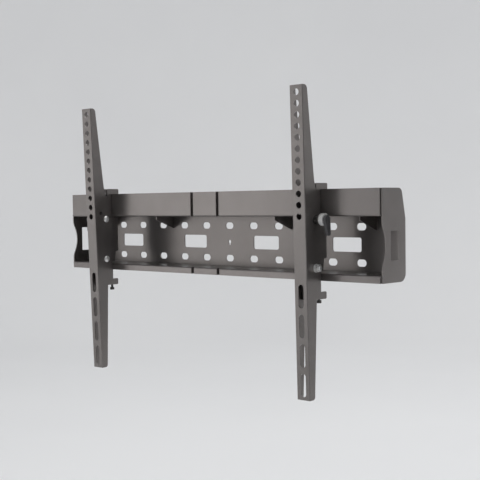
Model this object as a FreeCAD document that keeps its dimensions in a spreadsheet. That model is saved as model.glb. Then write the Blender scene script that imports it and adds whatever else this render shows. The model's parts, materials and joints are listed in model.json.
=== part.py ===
import FreeCAD, Part
import math
import os
import Sketcher

# Tilting wall mount: one folded wall rail and two upright
# arms that hang on it.  Millimetres.  +Z is up, +Y points into the wall, the
# wall is the plane Y = 0, and the origin is the middle of the wall-bolt slots.

V = FreeCAD.Vector
doc = FreeCAD.newDocument("tv_mount")

# ---------------------------------------------------------------- dimensions
DIMS = [
    # wall plate, a folded sheet
    ("sheet_t", 2.0), ("bend_in", 0.3), ("bend_out", 2.3),
    ("plate_len", 640.0), ("plate_depth", 56.0), ("lip_gap", 1.0),
    ("lip_top", 77.0), ("flange_top", 40.0), ("flange_bot", -37.0), ("lip_bot", -47.0),
    ("hole_pitch", 50.0), ("hole_cols", 11.0), ("hole_row", 25.0),
    ("hole_half", 3.2), ("hole_rad", 5.0),
    ("window_w", 50.0), ("window_half", 10.0), ("window_rad", 3.0),
    ("mark_rad", 3.0), ("mark_z", 0.3), ("mark_stem", 1.8), ("mark_low", -5.3),
    ("groove_x", 27.0), ("groove_w", 5.7), ("groove_deep", 5.2), ("groove_wall", 1.5),
    # end plates
    ("end_back", -2.0), ("end_corner", -10.8), ("end_bevel_z", 37.0),
    ("end_rad_top", 8.0), ("end_rad_bot", 12.0),
    ("end_mid", 1.5), ("end_scoop_half", 32.5), ("end_turn_z", 20.97), ("end_turn_y", 2.696),
    ("end_scoop_rad", 47.28), ("end_rim_rad", 26.0),
    ("end_slot_front", -36.0), ("end_slot_back", -18.0), ("end_slot_half", 19.6),
    ("end_tab", 8.0), ("end_tab_gap", 0.4),
    # gussets under the upper flange
    ("gusset_in", 125.0), ("gusset_out", 275.0), ("gusset_front", -40.0),
    ("gusset_step", 5.5), ("gusset_drop", 20.0), ("gusset_nick", 2.0),
    # arms, folded channels, in their own frame about the pivot bolt
    ("arm_x_left", -224.5), ("arm_x_right", 213.5), ("arm_tilt_left", 2.2), ("arm_tilt_right", 1.35),
    ("arm_w", 22.0), ("arm_len", 421.5), ("arm_up", 244.5), ("arm_fore", 19.5),
    ("arm_top_d", 9.6), ("arm_d1", 20.4), ("arm_s1", 130.0), ("belly_d", 32.5),
    ("belly_s1", 168.0), ("belly_s2", 215.0), ("arm_d2", 19.8), ("arm_s2", 288.0), ("arm_bot_d", 11.0),
    ("arm_rad", 60.0), ("arm_top_rad", 6.0), ("arm_bot_rad", 4.0), ("arm_bend", 1.1),
    ("tv_hole_rad", 4.5), ("tv_hole_s", 9.5), ("tv_hole_pitch", 15.0), ("tv_hole_n", 12.0),
    ("tv_slot_s", 281.5), ("tv_slot_half", 11.5), ("tv_slot_pitch", 40.0), ("tv_slot_n", 4.0),
    ("tilt_slot_rad", 3.45), ("tilt_slot_y", 7.92), ("tilt_slot_sag", 0.48),
    ("spare_y", -7.6), ("spare_z", 75.0), ("spare_rad", 3.0),
    # hook brackets
    ("pivot_y", -70.0), ("pivot_z", -29.0), ("tilt_bolt_up", 65.0),
    ("hook_w", 17.4), ("hook_front", -76.5), ("hook_low", -72.0), ("hook_web_top", 72.0),
    ("hook_lip_gap", 0.4), ("hook_tab_back", -44.5), ("hook_tab_z", -62.0),
    ("hook_toe_z", -34.0), ("hook_heel_y", -51.5), ("hook_step_y", -49.0), ("hook_bulge_z", -17.0), ("hook_bulge_y", -43.5), ("hook_bulge_top", 38.4),
    ("hook_leg_gap", 0.5), ("hook_leg_z", 63.0), ("hook_back", -41.0), ("hook_top", 85.3),
    ("hook_neck", -65.0), ("hook_rad", 2.0),
    ("lock_y", -50.5), ("lock_collar_rad", 4.5), ("lock_collar_top", -64.0), ("lock_hole_rad", 2.06),
    # bolts, nuts and washers, size M6
    ("bolt_rad", 3.0), ("bolt_hole_rad", 3.06), ("head_rad", 5.25), ("head_rim", 0.8), ("head_tall", 3.27), ("head_flat", 0.6),
    ("head_dome", 6.8), ("head_gap", 0.3), ("bolt_tip", 0.6),
    ("pivot_bolt_len", 30.8), ("tilt_bolt_len", 37.3),
    ("washer_rad", 6.0), ("washer_hole", 3.2), ("washer_t", 1.2), ("nut_rad", 5.77), ("nut_t", 5.0),
    # tilt levers
    ("lever_gap", 0.3), ("lever_neck_rad", 5.0), ("lever_neck_len", 8.7),
    ("lever_hub_rad", 8.4), ("lever_rib", 0.7), ("lever_hub_len", 7.0), ("lever_bore", 14.5),
    ("grip_t", 6.5), ("grip_top_t", 3.5), ("grip_high", -4.0), ("grip_full", -9.5), ("grip_rad", 6.2), ("grip_tip_rad", 3.3), ("grip_drop", 18.0), ("grip_edge", 1.3),
    # lock screws, size M4, standing upright
    ("lock_rad", 2.0), ("lock_len", 32.0), ("lock_head_rad", 3.5), ("lock_head_t", 4.0),
    ("lock_head_left", -77.0), ("lock_head_right", -74.2), ("lock_tip", 0.8), ("lock_key", 1.73), ("lock_key_deep", 2.0),
]
sheet = doc.addObject("Spreadsheet::Sheet", "Dims")
for row, (alias, value) in enumerate(DIMS, start=1):
    sheet.set("A%d" % row, alias)
    sheet.set("B%d" % row, "%g" % value)
    sheet.setAlias("B%d" % row, alias)
doc.recompute()


class Q:
    """A dimension: its number and the expression that gives it from the sheet."""

    def __init__(self, v, t):
        self.v, self.t = v, t

    def __add__(self, o):
        o = num(o)
        return Q(self.v + o.v, "(%s + %s)" % (self.t, o.t))

    def __radd__(self, o):
        return num(o) + self

    def __sub__(self, o):
        o = num(o)
        return Q(self.v - o.v, "(%s - %s)" % (self.t, o.t))

    def __rsub__(self, o):
        return num(o) - self

    def __mul__(self, o):
        o = num(o)
        return Q(self.v * o.v, "(%s * %s)" % (self.t, o.t))

    __rmul__ = __mul__

    def __neg__(self):
        return Q(-self.v, "(0 - %s)" % self.t)


def num(x):
    return x if isinstance(x, Q) else Q(float(x), "(%.6f)" % x if x < 0 else "%.6f" % x)


class Table:
    def __getattr__(self, name):
        return Q(float(sheet.get(name)), "Dims." + name)


d = Table()


# ------------------------------------------------------------- sketch helpers
def body(label):
    b = doc.addObject("PartDesign::Body", label)
    b.Label = label
    return b


def sketch(b, name, role, lift=None):
    sk = b.newObject("Sketcher::SketchObject", name)
    base = [f for f in b.Origin.OriginFeatures if f.Role == role][0]
    sk.AttachmentSupport = [(base, "")]
    sk.MapMode = "FlatFace"
    if lift is not None:
        sk.setExpression("AttachmentOffset.Base.z", num(lift).t)
    return sk


def bind(sk, constraint, q):
    i = sk.addConstraint(constraint)
    sk.setExpression("Constraints[%d]" % i, num(q).t)


def pin(sk, geo, pos, x, y):
    """Hold one point of a sketch at sheet dimensions from the origin."""
    bind(sk, Sketcher.Constraint("DistanceX", -1, 1, geo, pos, num(x).v), x)
    bind(sk, Sketcher.Constraint("DistanceY", -1, 1, geo, pos, num(y).v), y)


def outline(sk, pts, arcs=None):
    """Closed outline through pts.  arcs maps a segment's number to its radius,
    positive where it turns left on the way and negative where it turns right."""
    arcs = arcs or {}
    n = len(pts)
    first = sk.GeometryCount
    ends = []
    for i in range(n):
        a = V(num(pts[i][0]).v, num(pts[i][1]).v, 0)
        b = V(num(pts[(i + 1) % n][0]).v, num(pts[(i + 1) % n][1]).v, 0)
        if i in arcs:
            r = num(arcs[i])
            left = r.v > 0
            rad = abs(r.v)
            mid, along = (a + b) * 0.5, b - a
            half = along.Length / 2
            up = V(-along.y, along.x, 0).normalize() * math.sqrt(max(rad * rad - half * half, 0))
            c = mid + up if left else mid - up
            s, e = (a, b) if left else (b, a)
            a0 = math.atan2(s.y - c.y, s.x - c.x)
            a1 = math.atan2(e.y - c.y, e.x - c.x)
            while a1 <= a0:
                a1 += 2 * math.pi
            sk.addGeometry(Part.ArcOfCircle(Part.Circle(c, V(0, 0, 1), rad), a0, a1), False)
            ends.append((1, 2) if left else (2, 1))
        else:
            sk.addGeometry(Part.LineSegment(a, b), False)
            ends.append((1, 2))
    for i in range(n):
        j = (i + 1) % n
        sk.addConstraint(Sketcher.Constraint("Coincident", first + i, ends[i][1], first + j, ends[j][0]))
    for i in range(n):
        pin(sk, first + i, ends[i][0], pts[i][0], pts[i][1])
    for i, r in arcs.items():
        q = num(r)
        bind(sk, Sketcher.Constraint("Radius", first + i, abs(q.v)), q if q.v > 0 else -q)


def circle(sk, x, y, r):
    g = sk.addGeometry(Part.Circle(V(num(x).v, num(y).v, 0), V(0, 0, 1), num(r).v), False)
    pin(sk, g, 3, x, y)
    bind(sk, Sketcher.Constraint("Radius", g, num(r).v), r)


def capsule(sk, x1, y1, x2, y2, r1, r2=None):
    """Two round ends joined by tangent lines."""
    r2 = r1 if r2 is None else r2
    c1, c2 = V(num(x1).v, num(y1).v, 0), V(num(x2).v, num(y2).v, 0)
    ra, rb = num(r1).v, num(r2).v
    u = (c2 - c1).normalize()
    nrm = V(-u.y, u.x, 0)
    sn = (ra - rb) / (c2 - c1).Length
    cs = math.sqrt(1 - sn * sn)
    m, k = nrm * cs + u * sn, nrm * -cs + u * sn

    def arc(c, r, s, e):
        a0, a1 = math.atan2(s.y, s.x), math.atan2(e.y, e.x)
        while a1 <= a0:
            a1 += 2 * math.pi
        return Part.ArcOfCircle(Part.Circle(c, V(0, 0, 1), r), a0, a1)

    low = sk.addGeometry(Part.LineSegment(c1 + k * ra, c2 + k * rb), False)
    far = sk.addGeometry(arc(c2, rb, k, m), False)
    top = sk.addGeometry(Part.LineSegment(c2 + m * rb, c1 + m * ra), False)
    near = sk.addGeometry(arc(c1, ra, m, k), False)
    for g, p, h, q in ((low, 2, far, 1), (far, 2, top, 1), (top, 2, near, 1), (near, 2, low, 1)):
        sk.addConstraint(Sketcher.Constraint("Tangent", g, p, h, q))
    pin(sk, near, 3, x1, y1)
    pin(sk, far, 3, x2, y2)
    bind(sk, Sketcher.Constraint("Radius", near, ra), r1)
    bind(sk, Sketcher.Constraint("Radius", far, rb), r2)


def round_box(sk, x0, x1, y0, y1, r):
    outline(
        sk,
        [(x0 + r, y0), (x1 - r, y0), (x1, y0 + r), (x1, y1 - r), (x1 - r, y1), (x0 + r, y1), (x0, y1 - r), (x0, y0 + r)],
        {1: r, 3: r, 5: r, 7: r},
    )


# ------------------------------------------------------------ feature helpers
def pad(b, sk, length, both=False):
    f = b.newObject("PartDesign::Pad", sk.Name + "_pad")
    f.Profile = sk
    f.setExpression("Length", num(length).t)
    f.Midplane = both
    sk.Visibility = False
    return f


def pocket(b, sk, length=None, both=False, flip=False):
    """Cut a sketch out of the body; with no length, right through."""
    before = b.Shape.Volume
    f = b.newObject("PartDesign::Pocket", sk.Name + "_cut")
    f.Profile = sk
    if length is None:
        f.Type = "ThroughAll"
    else:
        f.setExpression("Length", num(length).t)
    f.Midplane = both
    f.Reversed = flip
    doc.recompute()
    if b.Shape.Volume > before - 0.5:
        raise RuntimeError("%s cut nothing" % f.Name)
    return f


def row(b, feature, axis, length, count, flip=False):
    """Repeat a cut along a straight line."""
    before = b.Shape.Volume
    f = b.newObject("PartDesign::LinearPattern", feature.Name + "_row")
    f.Originals = [feature]
    f.Direction = (feature.Profile[0], [axis])
    f.Reversed = flip
    f.setExpression("Length", num(length).t)
    f.setExpression("Occurrences", num(count).t)
    b.Tip = f
    doc.recompute()
    if b.Shape.Volume > before - 0.5:
        raise RuntimeError("%s cut nothing" % f.Name)
    return f


def rounded(b, name, radius, keep):
    """Round every edge of the body's last feature that keep(edge) accepts."""
    doc.recompute()
    tip = b.Tip
    names = ["Edge%d" % i for i, e in enumerate(tip.Shape.Edges, start=1) if keep(e)]
    if not names:
        raise RuntimeError("%s found no edge" % name)
    f = b.newObject("PartDesign::Fillet", name)
    f.Base = (tip, names)
    f.setExpression("Radius", num(radius).t)
    doc.recompute()
    return f


def along_x(*corners):
    """Edges that run along X through one of the given (y, z) corners."""

    def keep(e):
        c = e.BoundBox
        return c.XLength > 1 and any(
            abs(c.YMin - y) < 0.02 and abs(c.YMax - y) < 0.02 and abs(c.ZMin - z) < 0.02 and abs(c.ZMax - z) < 0.02
            for y, z in ((num(p).v, num(q).v) for p, q in corners)
        )

    return keep


def place(obj, x=0, y=0, z=0, axis=None, angle=None):
    if axis is not None and num(angle).v:
        obj.Placement = FreeCAD.Placement(V(0, 0, 0), FreeCAD.Rotation(axis, num(angle).v))
        if isinstance(angle, Q):
            obj.setExpression("Placement.Rotation.Angle", angle.t)
    for key, q in (("x", x), ("y", y), ("z", z)):
        obj.setExpression("Placement.Base." + key, num(q).t)


def box(name, x0, x1, y0, y1, z0, z1):
    b = doc.addObject("Part::Box", name)
    for prop, q in (("Length", num(x1) - x0), ("Width", num(y1) - y0), ("Height", num(z1) - z0)):
        b.setExpression(prop, q.t)
    place(b, x0, y0, z0)
    return b


def cylinder(name, r, length, x, y, z, axis=None, angle=0):
    c = doc.addObject("Part::Cylinder", name)
    c.setExpression("Radius", num(r).t)
    c.setExpression("Height", num(length).t)
    place(c, x, y, z, axis, angle)
    return c


def cut(label, base, tools):
    tool = tools[0]
    if len(tools) > 1:
        tool = doc.addObject("Part::MultiFuse", label + "_tools")
        tool.Shapes = tools
    c = doc.addObject("Part::Cut", label)
    c.Base, c.Tool, c.Label = base, tool, label
    return c


nodes = []


def node(obj, label):
    obj.Label = label
    nodes.append(obj)
    return obj


t = d.sheet_t

# ----------------------------------------------------------------- wall plate
# Hat section: the web lies on the wall, a flange comes forward above and below
# it, the upper lip stands up from its flange and the lower lip hangs down.
b = body("wall_plate_fold")
sk = sketch(b, "wall_section", "YZ_Plane")
f, g = -d.plate_depth, t - d.plate_depth
outline(
    sk,
    [
        (f, d.lip_top), (f, d.flange_top), (-t, d.flange_top), (-t, d.flange_bot), (f, d.flange_bot), (f, d.lip_bot),
        (g, d.lip_bot), (g, d.flange_bot - t), (0, d.flange_bot - t), (0, d.flange_top + t), (g, d.flange_top + t), (g, d.lip_top),
    ],
)
pad(b, sk, d.plate_len, both=True)
rounded(b, "wall_bends_outer", d.bend_out, along_x((f, d.flange_top), (f, d.flange_bot), (0, d.flange_top + t), (0, d.flange_bot - t)))
rounded(b, "wall_bends_inner", d.bend_in, along_x((g, d.flange_top + t), (g, d.flange_bot - t), (-t, d.flange_top), (-t, d.flange_bot)))

# wall-bolt slots in two rows
sk = sketch(b, "wall_slot", "XZ_Plane")
x = d.hole_pitch * -5
for z in (d.hole_row, -d.hole_row):
    capsule(sk, x - d.hole_half, z, x + d.hole_half, z, d.hole_rad)
row(b, pocket(b, sk, t * 2, flip=True), "H_Axis", d.hole_pitch * 10, d.hole_cols)

# four windows between the rows
sk = sketch(b, "wall_window", "XZ_Plane")
for k in (-5, -2, 1, 4):
    x = d.hole_pitch * k
    round_box(sk, x, x + d.window_w, -d.window_half, d.window_half, d.window_rad)
pocket(b, sk, t * 2, flip=True)

# centre mark, a round hole with a stem below it
sk = sketch(b, "centre_mark", "XZ_Plane")
circle(sk, 0, d.mark_z, d.mark_rad)
pocket(b, sk, t * 2, flip=True)
sk = sketch(b, "centre_stem", "XZ_Plane")
capsule(sk, 0, d.mark_low + d.mark_stem, 0, d.mark_z, d.mark_stem)
pocket(b, sk, t * 2, flip=True)

# two upright grooves across each lip, pressed back into a closed bead
beads, tools = [b], []
end = d.plate_len * 0.5
for i, x in enumerate((-d.groove_x, d.groove_x)):
    x0, x1, y1, w = x - d.groove_w * 0.5, x + d.groove_w * 0.5, f + d.groove_deep, d.groove_wall
    beads.append(box("bead_up_%d" % i, x0 - w, x1 + w, g - 1, y1 + w, d.flange_top + t * 0.5, d.lip_top))
    beads.append(box("bead_low_%d" % i, x0 - w, x1 + w, g - 1, y1 + w, d.lip_bot, d.flange_bot - t * 0.5))
    tools.append(box("groove_up_%d" % i, x0, x1, f - 1, y1, d.flange_top - 1, d.lip_top + 1))
    tools.append(box("groove_low_%d" % i, x0, x1, f - 1, y1, d.lip_bot - 1, d.flange_bot + 1))
# the lips stop short of the end plates
for side, x0, x1 in (("left", -end - 1, d.lip_gap - end), ("right", end - d.lip_gap, end + 1)):
    tools.append(box("lip_end_up_" + side, x0, x1, f - 1, g, d.flange_top + t + d.end_tab_gap, d.lip_top + 1))
    tools.append(box("lip_end_low_" + side, x0, x1, f - 1, g, d.lip_bot - 1, d.flange_bot - t - d.end_tab_gap))
beaded = doc.addObject("Part::MultiFuse", "wall_plate_beaded")
beaded.Shapes = beads
node(cut("wall_plate", beaded, tools), "wall_plate")

# ----------------------------------------------------------------- end plates
# scooped in front between the lips, with a tab folded in behind each lip
for side, x, sx in (("left", -end - t, -1), ("right", end, 1)):
    b = body("end_sheet_" + side)
    sk = sketch(b, "end_outline_" + side, "YZ_Plane")
    m, n, u, v = d.end_mid, d.end_scoop_half, g + d.end_turn_y, d.end_turn_z
    outline(
        sk,
        [
            (g, d.lip_bot), (d.end_back, d.lip_bot), (d.end_back, d.end_bevel_z), (d.end_corner, d.lip_top),
            (g, d.lip_top), (g, m + n), (u, m + v), (u, m - v), (g, m - n),
        ],
        {5: d.end_rim_rad, 6: -d.end_scoop_rad, 7: d.end_rim_rad},
    )
    pad(b, sk, t)
    rounded(b, "end_top_" + side, d.end_rad_top, along_x((d.end_corner, d.lip_top)))
    rounded(b, "end_low_" + side, d.end_rad_bot, along_x((d.end_back, d.lip_bot)))
    sk = sketch(b, "end_slot_" + side, "YZ_Plane")
    y0, y1, h = d.end_slot_front, d.end_slot_back, d.end_slot_half
    outline(sk, [(y0, m - h), (y1, m - h), (y1, m + h), (y0, m + h)])
    pocket(b, sk, both=True)
    place(b, x)
    x0, x1 = (-end - 1, d.end_tab - end) if sx < 0 else (end - d.end_tab, end + 1)
    k = d.end_tab_gap
    plate = doc.addObject("Part::MultiFuse", "end_plate_" + side)
    plate.Shapes = [
        b,
        box("end_tab_up_" + side, x0, x1, g, g + t, d.flange_top + t + k, d.lip_top - k),
        box("end_tab_low_" + side, x0, x1, g, g + t, d.lip_bot + k, d.flange_bot - t - k),
    ]
    node(plate, "end_plate_" + side)

# -------------------------------------------------------------------- gussets
for label, x in (
    ("gusset_outer_left", -d.gusset_out), ("gusset_inner_left", -d.gusset_in),
    ("gusset_inner_right", d.gusset_in), ("gusset_outer_right", d.gusset_out),
):
    b = body(label)
    sk = sketch(b, label + "_outline", "YZ_Plane")
    k = d.gusset_nick
    outline(
        sk,
        [
            (-t, d.gusset_drop), (-t, d.flange_top - k), (-t - k, d.flange_top),
            (d.gusset_front, d.flange_top), (d.gusset_front, d.flange_top - d.gusset_step),
        ],
    )
    pad(b, sk, t, both=True)
    place(b, x)
    node(b, label)

# ----------------------------------------------------- arms and what they carry
for side, sx, arm_x, arm_tilt in (("left", -1, d.arm_x_left, d.arm_tilt_left), ("right", 1, d.arm_x_right, d.arm_tilt_right)):
    outward = 0 if sx > 0 else 180

    # arm: a channel open to the wall, deepest where the bolts cross it
    b = body("arm_" + side)
    sk = sketch(b, "arm_outline_" + side, "YZ_Plane")

    def at(depth, down):
        return (num(depth) - d.arm_fore, d.arm_up - num(down))

    corners = [
        at(0, 0), at(0, d.arm_len), at(d.arm_bot_d, d.arm_len), at(d.arm_d2, d.arm_s2), at(d.belly_d, d.belly_s2),
        at(d.belly_d, d.belly_s1), at(d.arm_d1, d.arm_s1), at(d.arm_top_d, 0),
    ]
    outline(sk, corners)
    pad(b, sk, d.arm_w, both=True)
    rounded(b, "arm_curve_" + side, d.arm_rad, along_x(*corners[3:7]))
    rounded(b, "arm_top_" + side, d.arm_top_rad, along_x(corners[7]))
    rounded(b, "arm_foot_" + side, d.arm_bot_rad, along_x(corners[2]))
    sk = sketch(b, "arm_hollow_" + side, "XY_Plane")
    w, y0 = d.arm_w * 0.5 - t, t - d.arm_fore
    outline(sk, [(-w, y0), (w, y0), (w, y0 + 60), (-w, y0 + 60)])
    pocket(b, sk, both=True)

    def fold(e, front=-d.arm_fore.v, half=d.arm_w.v / 2):
        c = e.BoundBox
        return c.ZLength > 100 and abs(c.YMin - front) < 0.02 and abs(c.YMax - front) < 0.02 and abs(abs(c.XMin) - half) < 0.02

    rounded(b, "arm_bend_" + side, d.arm_bend, fold)

    sk = sketch(b, "tv_hole_" + side, "XZ_Plane")
    circle(sk, 0, d.arm_up - d.tv_hole_s - d.tv_hole_pitch * 11, d.tv_hole_rad)
    row(b, pocket(b, sk, flip=True), "V_Axis", d.tv_hole_pitch * 11, d.tv_hole_n)
    sk = sketch(b, "tv_slot_" + side, "XZ_Plane")
    z = d.arm_up - d.tv_slot_s - d.tv_slot_pitch * 3
    capsule(sk, 0, z - d.tv_slot_half, 0, z + d.tv_slot_half, d.tv_hole_rad)
    row(b, pocket(b, sk, flip=True), "V_Axis", d.tv_slot_pitch * 3, d.tv_slot_n)

    sk = sketch(b, "arm_pivot_" + side, "YZ_Plane")
    circle(sk, 0, 0, d.bolt_hole_rad)
    pocket(b, sk, both=True)
    sk = sketch(b, "tilt_slot_" + side, "YZ_Plane")
    capsule(sk, 0, d.tilt_bolt_up, d.tilt_slot_y, d.tilt_bolt_up - d.tilt_slot_sag, d.tilt_slot_rad)
    pocket(b, sk, both=True)
    sk = sketch(b, "spare_hole_" + side, "YZ_Plane")
    circle(sk, d.spare_y, d.spare_z, d.spare_rad)
    pocket(b, sk, flip=sx < 0)
    place(b, arm_x, d.pivot_y, d.pivot_z, V(1, 0, 0), arm_tilt)
    node(b, "arm_" + side)

    # hook bracket: folded round the front, with a hook over the upper lip, a
    # back edge that bears on both lips and a foot that carries the lock screw
    b = body("hook_fold_" + side)
    sk = sketch(b, "hook_outline_" + side, "YZ_Plane")
    lip, leg = f - d.hook_lip_gap, g + d.hook_leg_gap
    hook = [
        (d.hook_front, d.hook_low), (d.hook_tab_back, d.hook_low), (d.hook_tab_back, d.hook_tab_z), (lip, d.hook_tab_z),
        (lip, d.hook_toe_z), (d.hook_heel_y, d.hook_toe_z), (d.hook_step_y, d.hook_bulge_z),
        (d.hook_bulge_y, d.hook_bulge_z), (d.hook_bulge_y, d.hook_bulge_top), (lip, d.hook_bulge_top),
        (lip, d.lip_top + d.hook_lip_gap), (leg, d.lip_top + d.hook_lip_gap), (leg, d.hook_leg_z), (d.hook_back, d.hook_leg_z),
        (d.hook_back, d.hook_top), (d.hook_neck, d.hook_top), (d.hook_neck, d.hook_web_top), (d.hook_front, d.hook_web_top),
    ]
    outline(sk, hook)
    pad(b, sk, d.hook_w, both=True)
    rounded(b, "hook_corners_" + side, d.hook_rad, along_x(*[hook[i] for i in (1, 2, 5, 7, 8, 12, 13, 14, 15, 16)]))
    sk = sketch(b, "hook_bolts_" + side, "YZ_Plane")
    circle(sk, d.pivot_y, d.pivot_z, d.bolt_hole_rad)
    circle(sk, d.pivot_y, d.pivot_z + d.tilt_bolt_up, d.bolt_hole_rad)
    pocket(b, sk, both=True)
    place(b, arm_x)
    w = d.hook_w * 0.5 - t
    shell = cut(
        "hook_shell_" + side, b,
        [box("hook_inside_" + side, arm_x - w, arm_x + w, d.hook_front + t, d.hook_back + 10, d.hook_low + t, d.hook_top + 10)],
    )
    collar = doc.addObject("Part::Fuse", "hook_collar_" + side)
    collar.Base = shell
    collar.Tool = cylinder("collar_" + side, d.lock_collar_rad, d.lock_collar_top - d.hook_low, arm_x, d.lock_y, d.hook_low)
    node(
        cut("hook_bracket_" + side, collar, [cylinder("lock_hole_" + side, d.lock_hole_rad, 40, arm_x, d.lock_y, d.hook_low - 10)]),
        "hook_bracket_" + side,
    )

    # domed bolts, heads on the inner side
    for name, z, length in (("pivot", d.pivot_z, d.pivot_bolt_len), ("tilt", d.pivot_z + d.tilt_bolt_up, d.tilt_bolt_len)):
        b = body("%s_bolt_%s" % (name, side))
        sk = sketch(b, "%s_bolt_section_%s" % (name, side), "XZ_Plane")
        r, k = d.bolt_rad, d.bolt_tip
        outline(
            sk,
            [(0, -length), (r - k, -length), (r, k - length), (r, 0), (d.head_rad, 0), (d.head_rad, d.head_rim), (d.head_flat, d.head_tall), (0, d.head_tall)],
            {5: d.head_dome},
        )
        rev = b.newObject("PartDesign::Revolution", "%s_bolt_turn_%s" % (name, side))
        rev.Profile = sk
        rev.ReferenceAxis = (sk, ["V_Axis"])
        rev.Angle = 360
        place(b, arm_x - (d.arm_w * 0.5 + d.head_gap) * sx, d.pivot_y, z, V(0, 1, 0), -90 * sx)
        node(b, "%s_bolt_%s" % (name, side))

        # washer under the nut or the lever
        turn = (V(0, 1, 0), 90 * sx)
        x = arm_x + (d.arm_w * 0.5 + d.head_gap) * sx
        node(
            cut(
                "%s_washer_%s" % (name, side), cylinder("%s_washer_disc_%s" % (name, side), d.washer_rad, d.washer_t, x, d.pivot_y, z, *turn),
                [cylinder("%s_washer_hole_%s" % (name, side), d.washer_hole, d.washer_t, x, d.pivot_y, z, *turn)],
            ),
            "%s_washer_%s" % (name, side),
        )

    # hexagon nut on the pivot bolt
    x = arm_x + (d.arm_w * 0.5 + d.head_gap + d.washer_t) * sx
    prism = doc.addObject("Part::Prism", "nut_blank_" + side)
    prism.Polygon = 6
    prism.setExpression("Circumradius", d.nut_rad.t)
    prism.setExpression("Height", d.nut_t.t)
    place(prism, x, d.pivot_y, d.pivot_z, V(0, 1, 0), 90 * sx)
    node(
        cut("pivot_nut_" + side, prism, [cylinder("nut_hole_" + side, d.bolt_hole_rad, d.nut_t, x, d.pivot_y, d.pivot_z, V(0, 1, 0), 90 * sx)]),
        "pivot_nut_" + side,
    )

    # tilt lever: a ribbed hub on a neck, with a grip that hangs from its end
    b = body("lever_hub_" + side)
    sk = sketch(b, "hub_neck_" + side, "YZ_Plane")
    circle(sk, 0, 0, d.lever_neck_rad)
    pad(b, sk, d.lever_neck_len)
    doc.recompute()
    sk = sketch(b, "hub_ribs_" + side, "YZ_Plane", d.lever_neck_len)
    ribs, n = [], 22
    for i in range(n):
        for k, r in ((0.0, d.lever_hub_rad - d.lever_rib), (0.26, d.lever_hub_rad), (0.62, d.lever_hub_rad), (0.88, d.lever_hub_rad - d.lever_rib)):
            a = 2 * math.pi * (i + k) / n
            ribs.append((r * math.cos(a), r * math.sin(a)))
    outline(sk, ribs)
    pad(b, sk, d.lever_hub_len)
    doc.recompute()
    sk = sketch(b, "hub_bore_" + side, "YZ_Plane")
    circle(sk, 0, 0, d.bolt_hole_rad)
    pocket(b, sk, d.lever_bore, flip=True)
    x = arm_x + (d.arm_w * 0.5 + d.head_gap + d.washer_t + d.lever_gap) * sx
    z = d.pivot_z + d.tilt_bolt_up
    place(b, x, d.pivot_y, z, V(0, 0, 1), outward)
    node(b, "lever_hub_" + side)

    b = body("lever_grip_" + side)
    sk = sketch(b, "grip_outline_" + side, "YZ_Plane")
    capsule(sk, 0, 0, 0, -d.grip_drop, d.grip_rad, d.grip_tip_rad)
    pad(b, sk, d.grip_t)
    rounded(b, "grip_edges_" + side, d.grip_edge, lambda e: e.BoundBox.XLength < 0.01)
    sk = sketch(b, "grip_slope_" + side, "XZ_Plane")
    outline(
        sk,
        [
            (d.grip_t, d.grip_full), (d.grip_t + 2, d.grip_full), (d.grip_t + 2, d.grip_rad + 2),
            (d.grip_top_t, d.grip_rad + 2), (d.grip_top_t, d.grip_high),
        ],
    )
    pocket(b, sk, both=True)
    place(b, x + (d.lever_neck_len + d.lever_hub_len) * sx, d.pivot_y, z, V(0, 0, 1), outward)
    node(b, "lever_grip_" + side)

    # lock screw, upright, its tip behind the lower lip
    b = body("lock_screw_" + side)
    sk = sketch(b, "lock_section_" + side, "XZ_Plane")
    r, k = d.lock_rad, d.lock_tip
    outline(sk, [(0, -d.lock_head_t), (d.lock_head_rad, -d.lock_head_t), (d.lock_head_rad, 0), (r, 0), (r, d.lock_len - k), (r - k, d.lock_len), (0, d.lock_len)])
    rev = b.newObject("PartDesign::Revolution", "lock_turn_" + side)
    rev.Profile = sk
    rev.ReferenceAxis = (sk, ["V_Axis"])
    rev.Angle = 360
    doc.recompute()
    sk = sketch(b, "lock_key_" + side, "XY_Plane", -d.lock_head_t)
    outline(sk, [(d.lock_key * math.cos(math.pi * i / 3), d.lock_key * math.sin(math.pi * i / 3)) for i in range(6)])
    pocket(b, sk, d.lock_key_deep, flip=True)
    place(b, arm_x, d.lock_y, d.lock_head_left if sx < 0 else d.lock_head_right)
    node(b, "lock_screw_" + side)

# ------------------------------------------------------------ check and export
doc.recompute()
for o in doc.Objects:
    bad = [s for s in o.State if s in ("Invalid", "Error")]
    if bad:
        raise RuntimeError("%s is %s" % (o.Label, bad))
for o in nodes:
    s = o.Shape
    if s.isNull() or not s.isValid() or not s.Solids:
        raise RuntimeError("%s has no valid solid" % o.Label)
    if len(s.Solids) != 1:
        raise RuntimeError("%s has %d solids" % (o.Label, len(s.Solids)))

os.makedirs("parts", exist_ok=True)
for o in nodes:
    o.Shape.exportStep("parts/%s.step" % o.Label)
    c = o.Shape.BoundBox
    print(
        "%-22s %9.1f mm3  X %7.2f %7.2f  Y %7.2f %7.2f  Z %7.2f %7.2f"
        % (o.Label, o.Shape.Volume, c.XMin, c.XMax, c.YMin, c.YMax, c.ZMin, c.ZMax)
    )
print(len(nodes), "nodes")
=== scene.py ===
import json
import math

import bmesh
import bpy
from mathutils import Matrix, Vector

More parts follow.
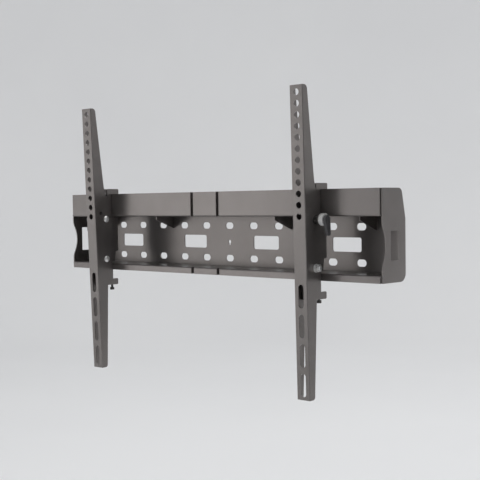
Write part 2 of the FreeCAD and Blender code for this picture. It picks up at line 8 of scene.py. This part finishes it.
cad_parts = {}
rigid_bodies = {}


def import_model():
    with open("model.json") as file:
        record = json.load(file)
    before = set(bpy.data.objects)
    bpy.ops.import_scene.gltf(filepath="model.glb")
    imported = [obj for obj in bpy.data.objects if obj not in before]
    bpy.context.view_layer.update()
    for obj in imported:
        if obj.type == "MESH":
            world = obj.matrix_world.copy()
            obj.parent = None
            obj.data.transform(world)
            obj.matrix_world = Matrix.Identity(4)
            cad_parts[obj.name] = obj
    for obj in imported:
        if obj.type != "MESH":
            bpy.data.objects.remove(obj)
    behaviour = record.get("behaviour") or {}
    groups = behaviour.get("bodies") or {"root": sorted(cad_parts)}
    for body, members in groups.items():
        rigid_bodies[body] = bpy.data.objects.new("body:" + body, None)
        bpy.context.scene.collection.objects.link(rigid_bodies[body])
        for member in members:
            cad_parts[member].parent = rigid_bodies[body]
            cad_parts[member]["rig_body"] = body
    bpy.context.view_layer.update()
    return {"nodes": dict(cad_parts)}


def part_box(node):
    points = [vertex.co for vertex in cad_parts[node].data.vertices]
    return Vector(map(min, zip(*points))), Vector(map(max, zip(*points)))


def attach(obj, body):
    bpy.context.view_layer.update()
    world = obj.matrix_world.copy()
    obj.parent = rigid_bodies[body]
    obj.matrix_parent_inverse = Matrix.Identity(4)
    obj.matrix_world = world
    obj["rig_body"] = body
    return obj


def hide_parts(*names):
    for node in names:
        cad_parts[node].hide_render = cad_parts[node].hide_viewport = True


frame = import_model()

# Looks of a tilting wall mount.  Metres, in the frame of the
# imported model: +Z up, +Y into the wall, the wall plane at Y = 0.

scene = bpy.context.scene
nodes = frame["nodes"]
SIDES = (("left", -1), ("right", 1))


# ------------------------------------------------------------------- materials
class Graph:
    """A material's node tree, with its shader."""

    def __init__(self, name, **sockets):
        self.mat = bpy.data.materials.new(name)
        self.mat.use_nodes = True
        self.tree = self.mat.node_tree
        self.tree.nodes.clear()
        self.shader = self.add("ShaderNodeBsdfPrincipled")
        out = self.add("ShaderNodeOutputMaterial")
        self.link(self.shader.outputs[0], out.inputs["Surface"])
        for key, value in sockets.items():
            self.shader.inputs[key.replace("_", " ")].default_value = value
        self.place = self.add("ShaderNodeTexCoord").outputs["Object"]

    def add(self, kind, **props):
        n = self.tree.nodes.new(kind)
        for k, v in props.items():
            setattr(n, k, v)
        return n

    def link(self, a, b):
        self.tree.links.new(a, b)

    def into(self, key, value):
        self.link(value, self.shader.inputs[key])

    def mapped(self, scale=(1, 1, 1), move=(0, 0, 0)):
        m = self.add("ShaderNodeMapping")
        m.inputs["Scale"].default_value = scale
        m.inputs["Location"].default_value = move
        self.link(self.place, m.inputs["Vector"])
        return m.outputs[0]

    def noise(self, scale, detail=2.0, rough=0.5, place=None, distortion=0.0):
        n = self.add("ShaderNodeTexNoise")
        n.inputs["Scale"].default_value = scale
        n.inputs["Detail"].default_value = detail
        n.inputs["Roughness"].default_value = rough
        n.inputs["Distortion"].default_value = distortion
        self.link(place or self.place, n.inputs["Vector"])
        return n.outputs["Fac"]

    def cells(self, scale, place=None, feature="F1"):
        n = self.add("ShaderNodeTexVoronoi", feature=feature)
        n.inputs["Scale"].default_value = scale
        self.link(place or self.place, n.inputs["Vector"])
        return n

    def range(self, value, a, b, c, d):
        n = self.add("ShaderNodeMapRange")
        self.link(value, n.inputs["Value"])
        for key, v in (("From Min", a), ("From Max", b), ("To Min", c), ("To Max", d)):
            n.inputs[key].default_value = v
        return n.outputs[0]

    def math(self, op, a, b):
        n = self.add("ShaderNodeMath", operation=op)
        for i, v in enumerate((a, b)):
            if isinstance(v, (int, float)):
                n.inputs[i].default_value = v
            else:
                self.link(v, n.inputs[i])
        return n.outputs[0]

    def mix(self, fac, a, b, blend="MIX"):
        n = self.add("ShaderNodeMix", data_type="RGBA", blend_type=blend)
        for key, v in ((0, fac), (6, a), (7, b)):
            if isinstance(v, (int, float)):
                n.inputs[key].default_value = v
            elif isinstance(v, tuple):
                n.inputs[key].default_value = v + (1.0,)
            else:
                self.link(v, n.inputs[key])
        return n.outputs[2]

    def edges(self, radius, low, high):
        """1 along the edges of the shape, 0 on its faces."""
        bevel = self.add("ShaderNodeBevel", samples=6)
        bevel.inputs["Radius"].default_value = radius
        geo = self.add("ShaderNodeNewGeometry")
        dot = self.add("ShaderNodeVectorMath", operation="DOT_PRODUCT")
        self.link(bevel.outputs[0], dot.inputs[0])
        self.link(geo.outputs["Normal"], dot.inputs[1])
        return self.range(dot.outputs["Value"], 1 - low, 1 - high, 0, 1)

    def bump(self, layers):
        """layers: (height, strength, distance), coarse first."""
        last = None
        for height, strength, distance in layers:
            n = self.add("ShaderNodeBump")
            n.inputs["Strength"].default_value = strength
            n.inputs["Distance"].default_value = distance
            self.link(height, n.inputs["Height"])
            if last:
                self.link(last, n.inputs["Normal"])
            last = n.outputs[0]
        self.into("Normal", last)


def paint(name, deep=1.0):
    """Satin metallic grey baked paint on folded sheet; with deep below 1 the colour is darkened towards the back of the
    channel as painted shade of the recess.
    """
    g = Graph(name, Metallic=0.80, Coat_Weight=0.06, Coat_Roughness=0.25, Specular_IOR_Level=0.45)
    cloud = g.noise(16.0, 4.0, 0.55)
    speck = g.noise(1500.0, 2.0, 0.6)
    flake = g.cells(3800.0).outputs["Color"]
    colour = g.mix(g.range(cloud, 0.3, 0.7, 0, 1), (0.188, 0.173, 0.166), (0.219, 0.203, 0.196))
    colour = g.mix(0.20, colour, g.mix(g.range(speck, 0.3, 0.7, 0, 1), (0.120, 0.110, 0.104), (0.330, 0.308, 0.298)))
    colour = g.mix(0.05, colour, flake, "OVERLAY")
    worn = g.math("MULTIPLY", g.edges(0.0009, 0.03, 0.30), g.range(g.noise(120.0, 4.0, 0.65), 0.35, 0.62, 0.10, 0.70))
    colour = g.mix(worn, colour, (0.36, 0.345, 0.335))
    # painted shade: the base colour is multiplied by deep towards the back of the channel, so the recessed web is
    # darker
    if deep < 1.0:
        axes = g.add("ShaderNodeSeparateXYZ")
        g.link(g.place, axes.inputs[0])
        colour = g.mix(g.range(axes.outputs["Y"], -0.050, -0.006, 0, 1), colour, (deep, deep, deep), "MULTIPLY")
    g.into("Base Color", colour)
    grain = g.range(g.noise(260.0, 2.0, 0.5), 0.2, 0.8, 0.285, 0.330)
    g.into("Roughness", g.math("SUBTRACT", grain, g.math("MULTIPLY", worn, 0.08)))
    g.bump([(g.noise(34.0, 2.0), 0.05, 0.0006), (g.noise(950.0, 2.0, 0.55), 0.20, 0.00006), (speck, 0.10, 0.00003)])
    return g.mat


def zinc(name, axis, y=0.0, z=0.0, tone=1.0, rough=0.0):
    """Bright zinc plate with turning rings about the piece's own axis."""
    g = Graph(name, Metallic=0.70, Specular_IOR_Level=0.5)
    own = g.mapped(move=(0, -y, -z))
    ring = g.add("ShaderNodeTexWave", wave_type="RINGS", rings_direction=axis)
    ring.inputs["Scale"].default_value = 700.0
    ring.inputs["Distortion"].default_value = 1.2
    ring.inputs["Detail"].default_value = 2.0
    ring.inputs["Detail Scale"].default_value = 1.5
    g.link(own, ring.inputs["Vector"])
    rings = ring.outputs["Fac"]
    tint = g.noise(210.0, 3.0, 0.6)
    colour = g.mix(g.range(tint, 0.32, 0.68, 0, 1), tuple(tone * c for c in (0.62, 0.625, 0.635)), tuple(tone * c for c in (0.78, 0.77, 0.74)))
    colour = g.mix(g.math("MULTIPLY", rings, 0.18), colour, tuple(tone * c for c in (0.40, 0.40, 0.41)))
    worn = g.edges(0.0005, 0.03, 0.35)
    colour = g.mix(g.math("MULTIPLY", worn, 0.6), colour, tuple(tone * c for c in (0.80, 0.80, 0.79)))
    grime = g.range(g.noise(900.0, 4.0, 0.65), 0.55, 0.75, 0, 0.4)
    colour = g.mix(grime, colour, (0.24, 0.235, 0.225))
    g.into("Base Color", colour)
    g.into("Roughness", g.range(g.math("ADD", g.math("MULTIPLY", rings, 0.4), g.noise(500.0, 3.0)), 0.3, 1.1, 0.24 + rough, 0.42 + rough))
    g.bump([(rings, 0.12, 0.00004), (g.noise(1600.0, 2.0), 0.10, 0.00003)])
    return g.mat


def plastic(name):
    """Dark grey moulded plastic with a fine spark-eroded grain."""
    g = Graph(name, Specular_IOR_Level=0.42)
    grain = g.cells(2100.0, feature="SMOOTH_F1").outputs["Distance"]
    cloud = g.noise(180.0, 3.0, 0.55)
    colour = g.mix(g.range(cloud, 0.3, 0.7, 0, 1), (0.040, 0.039, 0.042), (0.060, 0.058, 0.061))
    colour = g.mix(g.range(grain, 0.1, 0.7, 0.35, 0.0), colour, (0.085, 0.083, 0.085))
    worn = g.math("MULTIPLY", g.edges(0.0008, 0.03, 0.35), g.range(g.noise(700.0, 3.0), 0.35, 0.65, 0.2, 0.8))
    colour = g.mix(worn, colour, (0.15, 0.147, 0.148))
    g.into("Base Color", colour)
    g.into("Roughness", g.range(cloud, 0.3, 0.7, 0.46, 0.60))
    g.bump([(grain, 0.30, 0.00006), (g.noise(3200.0, 2.0), 0.12, 0.00003)])
    return g.mat


def black_steel(name):
    """Blackened steel, browned a little and rubbed bright on its edges."""
    g = Graph(name, Metallic=0.85, Specular_IOR_Level=0.45)
    cloud = g.noise(420.0, 3.0, 0.6)
    colour = g.mix(g.range(cloud, 0.3, 0.7, 0, 1), (0.060, 0.058, 0.058), (0.105, 0.098, 0.092))
    worn = g.math("MULTIPLY", g.edges(0.0004, 0.03, 0.35), g.range(g.noise(900.0, 3.0), 0.35, 0.65, 0.2, 0.9))
    colour = g.mix(worn, colour, (0.36, 0.345, 0.33))
    g.into("Base Color", colour)
    g.into("Roughness", g.range(g.noise(1300.0, 3.0), 0.3, 0.7, 0.34, 0.50))
    g.bump([(g.noise(2400.0, 2.0), 0.15, 0.00003)])
    return g.mat


grey = paint("grey_paint")
# rail paint with painted shade: darker deep in its channel
grey_rail_recess_shaded = paint("grey_paint_rail", deep=0.86)
grip_mat = plastic("grip_plastic")
black = black_steel("black_screw")
PIVOT = (-0.070, -0.029)
TILT = (-0.070, 0.036)
zinc_pivot = zinc("zinc_pivot", "X", *PIVOT)
zinc_tilt = zinc("zinc_tilt", "X", *TILT)
zinc_hub = zinc("zinc_hub", "X", *TILT, tone=1.0, rough=0.08)


def dress(obj, mat):
    obj.data.materials.clear()
    obj.data.materials.append(mat)
    for p in obj.data.polygons:
        p.material_index = 0


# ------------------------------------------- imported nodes: rounded edges, looks
def soften(obj, width, segments=2, angle=32.0):
    """Rolled edges, as stamped and painted sheet has."""
    weld = obj.modifiers.new("weld", "WELD")
    weld.merge_threshold = 2e-6
    flat = obj.modifiers.new("flat", "DECIMATE")
    flat.decimate_type = "DISSOLVE"
    flat.angle_limit = math.radians(0.4)
    bevel = obj.modifiers.new("bevel", "BEVEL")
    bevel.width = width
    bevel.segments = segments
    bevel.limit_method = "ANGLE"
    bevel.angle_limit = math.radians(angle)
    bevel.use_clamp_overlap = True
    bevel.harden_normals = False
    bevel.miter_outer = "MITER_ARC"
    clean = obj.modifiers.new("clean", "WELD")  # closes the slivers that clamped edges leave
    clean.merge_threshold = 5e-6
    even = obj.modifiers.new("even", "WEIGHTED_NORMAL")
    even.mode = "FACE_AREA"
    even.weight = 80
    even.keep_sharp = False
    for p in obj.data.polygons:
        p.use_smooth = True


EDGE = {
    "wall_plate": 0.00030, "end_plate": 0.00040, "gusset": 0.00030, "arm": 0.00035, "hook_bracket": 0.00035,
    "pivot_washer": 0.00020, "tilt_washer": 0.00020, "lever_hub": 0.00014,
}
for name, obj in nodes.items():
    base = name.replace("_left", "").replace("_right", "").replace("_outer", "").replace("_inner", "")
    if base in ("wall_plate", "end_plate", "gusset", "arm", "hook_bracket"):
        dress(obj, grey_rail_recess_shaded if base == "wall_plate" else grey)
    elif base in ("pivot_washer",):
        dress(obj, zinc_pivot)
    elif base == "tilt_washer":
        dress(obj, black)
    elif base == "lever_hub":
        dress(obj, zinc_hub)
        obj.data.materials.append(black)
        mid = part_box("arm_left" if name.endswith("left") else "arm_right")
        middle = (mid[0].x + mid[1].x) / 2
        for p in obj.data.polygons:  # the neck is blackened, the ribbed head bright
            if abs(p.center.x - middle) < 0.0213:
                p.material_index = 1
    if base in EDGE:
        soften(obj, EDGE[base])


# ------------------------------------------------------- detailed small pieces
def piece(name, verts, faces, mat, node, slot):
    """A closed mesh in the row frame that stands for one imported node."""
    mesh = bpy.data.meshes.new(name)
    mesh.from_pydata([tuple(v) for v in verts], [], faces)
    mesh.validate()
    bm = bmesh.new()
    bm.from_mesh(mesh)
    bmesh.ops.remove_doubles(bm, verts=bm.verts, dist=1e-7)
    bmesh.ops.recalc_face_normals(bm, faces=bm.faces)
    for f in bm.faces:
        f.smooth = True
    for e in bm.edges:
        e.smooth = len(e.link_faces) == 2 and e.calc_face_angle(0.0) < math.radians(38)
    bm.to_mesh(mesh)
    bm.free()
    obj = bpy.data.objects.new(name, mesh)
    scene.collection.objects.link(obj)
    dress(obj, mat)
    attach(obj, nodes[node]["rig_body"])
    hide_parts(node)
    return obj


def lathe(rings, n):
    """Closed skin through rings of n points; the first and last are capped."""
    verts, faces = [], []
    for ring in rings:
        verts += ring
    for k in range(len(rings) - 1):
        for i in range(n):
            j = (i + 1) % n
            faces.append((k * n + i, k * n + j, (k + 1) * n + j, (k + 1) * n + i))
    faces.append(tuple(range(n))[::-1])
    last = (len(rings) - 1) * n
    faces.append(tuple(last + i for i in range(n)))
    return verts, faces


def spin(profile, n, shape=None):
    """Rings from (radius, height) pairs; shape(radius, height, angle) may move a point."""
    rings = []
    for r, h in profile:
        ring = []
        for i in range(n):
            a = 2 * math.pi * i / n
            rr, hh = shape(r, h, a) if shape else (r, h)
            ring.append(Vector((rr * math.cos(a), rr * math.sin(a), hh)))
        rings.append(ring)
    return rings


def thread(r, pitch, deep, h0, h1):
    """Radius of a screw thread with a lead-in at both ends, as a function of height and angle."""

    def shape(rr, h, a):
        if not h0 <= h <= h1 or rr < r - 1e-6:
            return rr, h
        t = (h / pitch - a / (2 * math.pi)) % 1.0
        groove = max(0.0, 1.0 - abs(t - 0.5) * 2.9)
        fade = min(1.0, (h - h0) / pitch, (h1 - h) / pitch + 0.25)
        return rr - deep * groove * max(0.0, fade), h

    return shape


def aim(axis_dir, origin):
    """Local +Z to the given direction, then to the origin."""
    q = Vector((0, 0, 1)).rotation_difference(Vector(axis_dir))
    return Matrix.Translation(Vector(origin)) @ q.to_matrix().to_4x4()


def domed_bolt(name, node, mat, x_seat, sx, y, z, length):
    """Domed bolt: the head's flat is at x_seat and its shank runs outward."""
    head, rim, tall = 0.00525, 0.0008, 0.00327
    n = 48
    prof = [(0.00012, -tall), (0.0006, -tall)]
    for i in range(1, 10):  # dome
        a = i / 10
        r = 0.0006 + (head - 0.0006) * math.sin(a * math.pi / 2)
        prof.append((r, -(math.sqrt(max(0.0068**2 - r * r, 0)) - 0.0035)))
    prof += [(head, -rim), (head, -0.00018), (head - 0.00018, 0.0), (0.0030, 0.0)]
    start = 0.0105
    steps = int((length - 0.0007 - start) / 0.000125)
    prof.append((0.0030, start - 0.0004))
    for i in range(steps + 1):
        prof.append((0.0030, start + (length - 0.0007 - start) * i / steps))
    prof += [(0.0024, length), (0.0001, length)]
    rings = spin(prof, n, thread(0.0030, 0.0010, 0.00052, start, length - 0.0006))
    m = aim((sx, 0, 0), (x_seat, y, z))
    rings = [[m @ v for v in ring] for ring in rings]
    return piece(name, *lathe(rings, n), mat, node, "zinc")


def hex_nut(name, node, mat, x0, sx, y, z):
    """Hexagon nut with chamfered corners and a countersunk thread."""
    flat, tall, n = 0.0050, 0.0050, 72

    def hexagon(a):
        return flat / math.cos((a + math.pi / 6) % (math.pi / 3) - math.pi / 6)

    rc = 0.00475
    rings = []

    def ring(fn):
        out = []
        for i in range(n):
            a = 2 * math.pi * i / n
            r, h = fn(a)
            out.append(Vector((r * math.cos(a), r * math.sin(a), h)))
        rings.append(out)

    drop = lambda a: (hexagon(a) - rc) * math.tan(math.radians(30))
    ring(lambda a: (0.00306, 0.00045))
    ring(lambda a: (0.00345, 0.0))
    ring(lambda a: (rc, 0.0))
    ring(lambda a: (hexagon(a), drop(a)))
    ring(lambda a: (hexagon(a), tall - drop(a)))
    ring(lambda a: (rc, tall))
    ring(lambda a: (0.00345, tall))
    ring(lambda a: (0.00306, tall - 0.00045))
    m = aim((sx, 0, 0), (x0, y, z))
    verts = [m @ v for r in rings for v in r]
    faces = []
    k = len(rings)
    for q in range(k):
        for i in range(n):
            j = (i + 1) % n
            faces.append((q * n + i, q * n + j, (q + 1) % k * n + j, (q + 1) % k * n + i))
    return piece(name, verts, faces, mat, node, "zinc")


def lock_screw(name, node):
    """Socket-headed screw standing upright, its knurled head at the bottom."""
    lo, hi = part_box(node)
    x, y = (lo.x + hi.x) / 2, (lo.y + hi.y) / 2
    n = 60
    top = hi.z - lo.z
    key, deep, head, rh = 0.00173, 0.0020, 0.0040, 0.0035

    def shape(rr, h, a):
        if 0.0006 < h < 0.0034 and rr > 0.0033:  # knurl
            return rr - 0.00013 * (0.5 + 0.5 * math.cos(30 * a)), h
        if rr < 0.0018 and h < 0.0021:  # hexagon socket
            return rr * math.cos(math.pi / 6) / math.cos((a + math.pi / 6) % (math.pi / 3) - math.pi / 6), h
        return thread(0.0020, 0.0007, 0.00040, head + 0.0004, top - 0.0006)(rr, h, a)

    prof = [(0.0001, deep), (key, deep), (key, 0.0002), (key + 0.0003, 0.0), (rh - 0.00035, 0.0), (rh, 0.0004), (rh, 0.0007)]
    prof += [(rh, 0.0007 + 0.0026 * i / 4) for i in range(1, 5)]
    prof += [(rh, head - 0.0004), (rh - 0.0003, head), (0.0020, head)]
    steps = int((top - 0.0008 - head - 0.0004) / 0.00009)
    prof += [(0.0020, head + 0.0004 + (top - 0.0008 - head - 0.0004) * i / steps) for i in range(steps + 1)]
    prof += [(0.0012, top), (0.0001, top)]
    rings = [[v + Vector((x, y, lo.z)) for v in ring] for ring in spin(prof, n, shape)]
    return piece(name, *lathe(rings, n), black, node, "black_screw")


def grip(name, node, sx):
    """Moulded lever: thick round the hub, slimmer at its foot, with a dished outer face and a parting line."""
    lo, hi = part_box(node)
    y, z = TILT
    n = 72
    drop, r1, r2 = 0.018, 0.0062, 0.0033
    sn = (r1 - r2) / drop
    tang = math.asin(sn)

    def outline(inset):
        """Points of a pear outline pulled in by inset, hub at the top."""
        pts = []
        top_n, low_n = 40, 32
        for i in range(top_n):
            a = -tang + (math.pi + 2 * tang) * i / (top_n - 1)
            pts.append(((r1 - inset) * math.cos(a), (r1 - inset) * math.sin(a)))
        for i in range(low_n):
            a = math.pi + tang + (math.pi - 2 * tang) * i / (low_n - 1)
            pts.append(((r2 - inset) * math.cos(a), -drop + (r2 - inset) * math.sin(a)))
        return pts

    thick, thin = hi.x - lo.x, 0.0035
    edge = 0.0013

    def local(h, q):
        """Height h of the full section, drawn in where the lever is thin."""
        k = min(1.0, max(0.0, (q + 0.0095) / 0.0055))
        k = k * k * (3 - 2 * k)
        here = thick + (thin - thick) * k
        return h * here / thick

    layers = [(0.0030, 0.0)]
    for i in range(5):
        a = math.pi / 2 * i / 4
        layers.append((edge - edge * math.sin(a), edge - edge * math.cos(a)))
    mid = thick / 2
    layers += [(0.0, mid - 0.00035), (0.00022, mid - 0.00012), (0.00022, mid + 0.00012), (0.0, mid + 0.00035)]
    for i in range(5):
        a = math.pi / 2 * i / 4
        layers.append((edge - edge * math.cos(a), thick - edge + edge * math.sin(a)))
    layers += [(0.0017, thick), (0.0021, thick - 0.00045), (0.0027, thick - 0.0006)]
    x_in = lo.x if sx > 0 else hi.x
    rings = []
    for inset, h in layers:
        rings.append([Vector((x_in + sx * local(h, q), y + p, z + q)) for p, q in outline(inset)])
    return piece(name, *lathe(rings, len(rings[0])), grip_mat, node, "grip_plastic")


for side, sx in SIDES:
    lo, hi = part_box("pivot_bolt_" + side)
    seat = lo.x + 0.00327 if sx > 0 else hi.x - 0.00327
    domed_bolt("pivot_bolt_piece_" + side, "pivot_bolt_" + side, zinc_pivot, seat, sx, *PIVOT, hi.x - lo.x - 0.00327)
    lo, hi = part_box("tilt_bolt_" + side)
    seat = lo.x + 0.00327 if sx > 0 else hi.x - 0.00327
    domed_bolt("tilt_bolt_piece_" + side, "tilt_bolt_" + side, zinc_tilt, seat, sx, *TILT, hi.x - lo.x - 0.00327)
    lo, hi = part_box("pivot_nut_" + side)
    hex_nut("pivot_nut_piece_" + side, "pivot_nut_" + side, zinc_pivot, lo.x if sx > 0 else hi.x, sx, *PIVOT)
    lock_screw("lock_screw_piece_" + side, "lock_screw_" + side)
    grip("lever_grip_piece_" + side, "lever_grip_" + side, sx)


# ------------------------------------------------------------ stage and lights
def sweep():
    """A pale round sweep: a floor that curves up all round."""
    g = Graph("stage_pale", Specular_IOR_Level=0.2, Roughness=0.9)
    tone = g.noise(0.8, 3.0)
    g.into("Base Color", g.mix(g.range(tone, 0.3, 0.7, 0, 1), (0.80, 0.80, 0.805), (0.83, 0.83, 0.832)))
    prof = [(0.0, 0.0), (1.5, 0.0), (3.2, 0.0)]
    prof += [(3.2 + 1.8 * math.sin(a), 1.8 - 1.8 * math.cos(a)) for a in (math.pi / 2 * i / 12 for i in range(1, 13))]
    prof += [(5.0, 3.2), (5.0, 4.6)]
    n = 96
    verts, faces = [], []
    for r, h in prof:
        verts += [(max(r, 1e-4) * math.cos(2 * math.pi * i / n), max(r, 1e-4) * math.sin(2 * math.pi * i / n), h) for i in range(n)]
    for k in range(len(prof) - 1):
        for i in range(n):
            j = (i + 1) % n
            faces.append((k * n + i, k * n + j, (k + 1) * n + j, (k + 1) * n + i))
    mesh = bpy.data.meshes.new("stage_sweep")
    mesh.from_pydata(verts, [], faces)
    for p in mesh.polygons:
        p.use_smooth = True
    obj = bpy.data.objects.new("stage_sweep", mesh)
    scene.collection.objects.link(obj)
    obj.location.z = -0.62
    mesh.materials.append(g.mat)


sweep()


def flag(name, start, stop, radius, low, high, shade):
    """A studio screen on the light's far side, out of the picture."""
    g = Graph(name, Specular_IOR_Level=0.1, Roughness=1.0)
    tone = g.noise(1.1, 3.0)
    g.into("Base Color", g.mix(g.range(tone, 0.3, 0.7, 0, 1), (shade * 0.94,) * 3, (shade * 1.06,) * 3))
    n = 40
    verts, faces = [], []
    for i in range(n + 1):
        a = math.radians(start + (stop - start) * i / n)
        verts += [(radius * math.cos(a), radius * math.sin(a), low), (radius * math.cos(a), radius * math.sin(a), high)]
    for i in range(n):
        faces.append((2 * i, 2 * i + 1, 2 * i + 3, 2 * i + 2))
    mesh = bpy.data.meshes.new(name)
    mesh.from_pydata(verts, [], faces)
    obj = bpy.data.objects.new(name, mesh)
    scene.collection.objects.link(obj)
    mesh.materials.append(g.mat)
    obj.visible_camera = False
    obj.visible_shadow = False
    obj.visible_diffuse = False


flag("stage_flag_front", -78.0, -20.0, 2.7, -0.615, 0.80, 0.06)
flag("stage_flag_side", 20.0, 43.0, 2.7, -0.615, 0.34, 0.08)


def lamp(name, where, target, size, power, colour=(1, 1, 1)):
    data = bpy.data.lights.new(name, "AREA")
    data.shape = "DISK"
    data.size = size
    data.energy = power
    data.color = colour
    obj = bpy.data.objects.new(name, data)
    scene.collection.objects.link(obj)
    obj.location = where
    obj.rotation_mode = "QUATERNION"
    obj.rotation_quaternion = (Vector(target) - Vector(where)).to_track_quat("-Z", "Y")
    obj.visible_camera = False
    return obj


lamp("key", (-2.19, -2.31, 0.03), (0, -0.05, 0), 1.18, 4.4, (1.0, 0.985, 0.965))
lamp("top", (0.9, 1.2, 3.6), (0.4, 0.7, -0.6), 2.6, 64)

world = bpy.data.worlds.new("soft_room")
world.use_nodes = True
sky = world.node_tree.nodes["Background"]
sky.inputs["Color"].default_value = (0.93, 0.945, 0.96, 1)
sky.inputs["Strength"].default_value = 0.75
scene.world = world
scene.view_settings.view_transform = "Standard"

# ---------------------------------------------------------------------- camera
cam_data = bpy.data.cameras.new("camera")
cam_data.sensor_width = 36.0
cam_data.lens = 75.892
cam_data.clip_start, cam_data.clip_end = 0.05, 60.0
cam = bpy.data.objects.new("camera", cam_data)
scene.collection.objects.link(cam)
cam.matrix_world = Matrix((
    (0.730085, -0.015500, 0.683180, 1.076155),
    (0.683244, 0.034624, -0.729368, -1.127435),
    (-0.012349, 0.999280, 0.035869, 0.058582),
    (0.0, 0.0, 0.0, 1.0),
))
scene.camera = cam
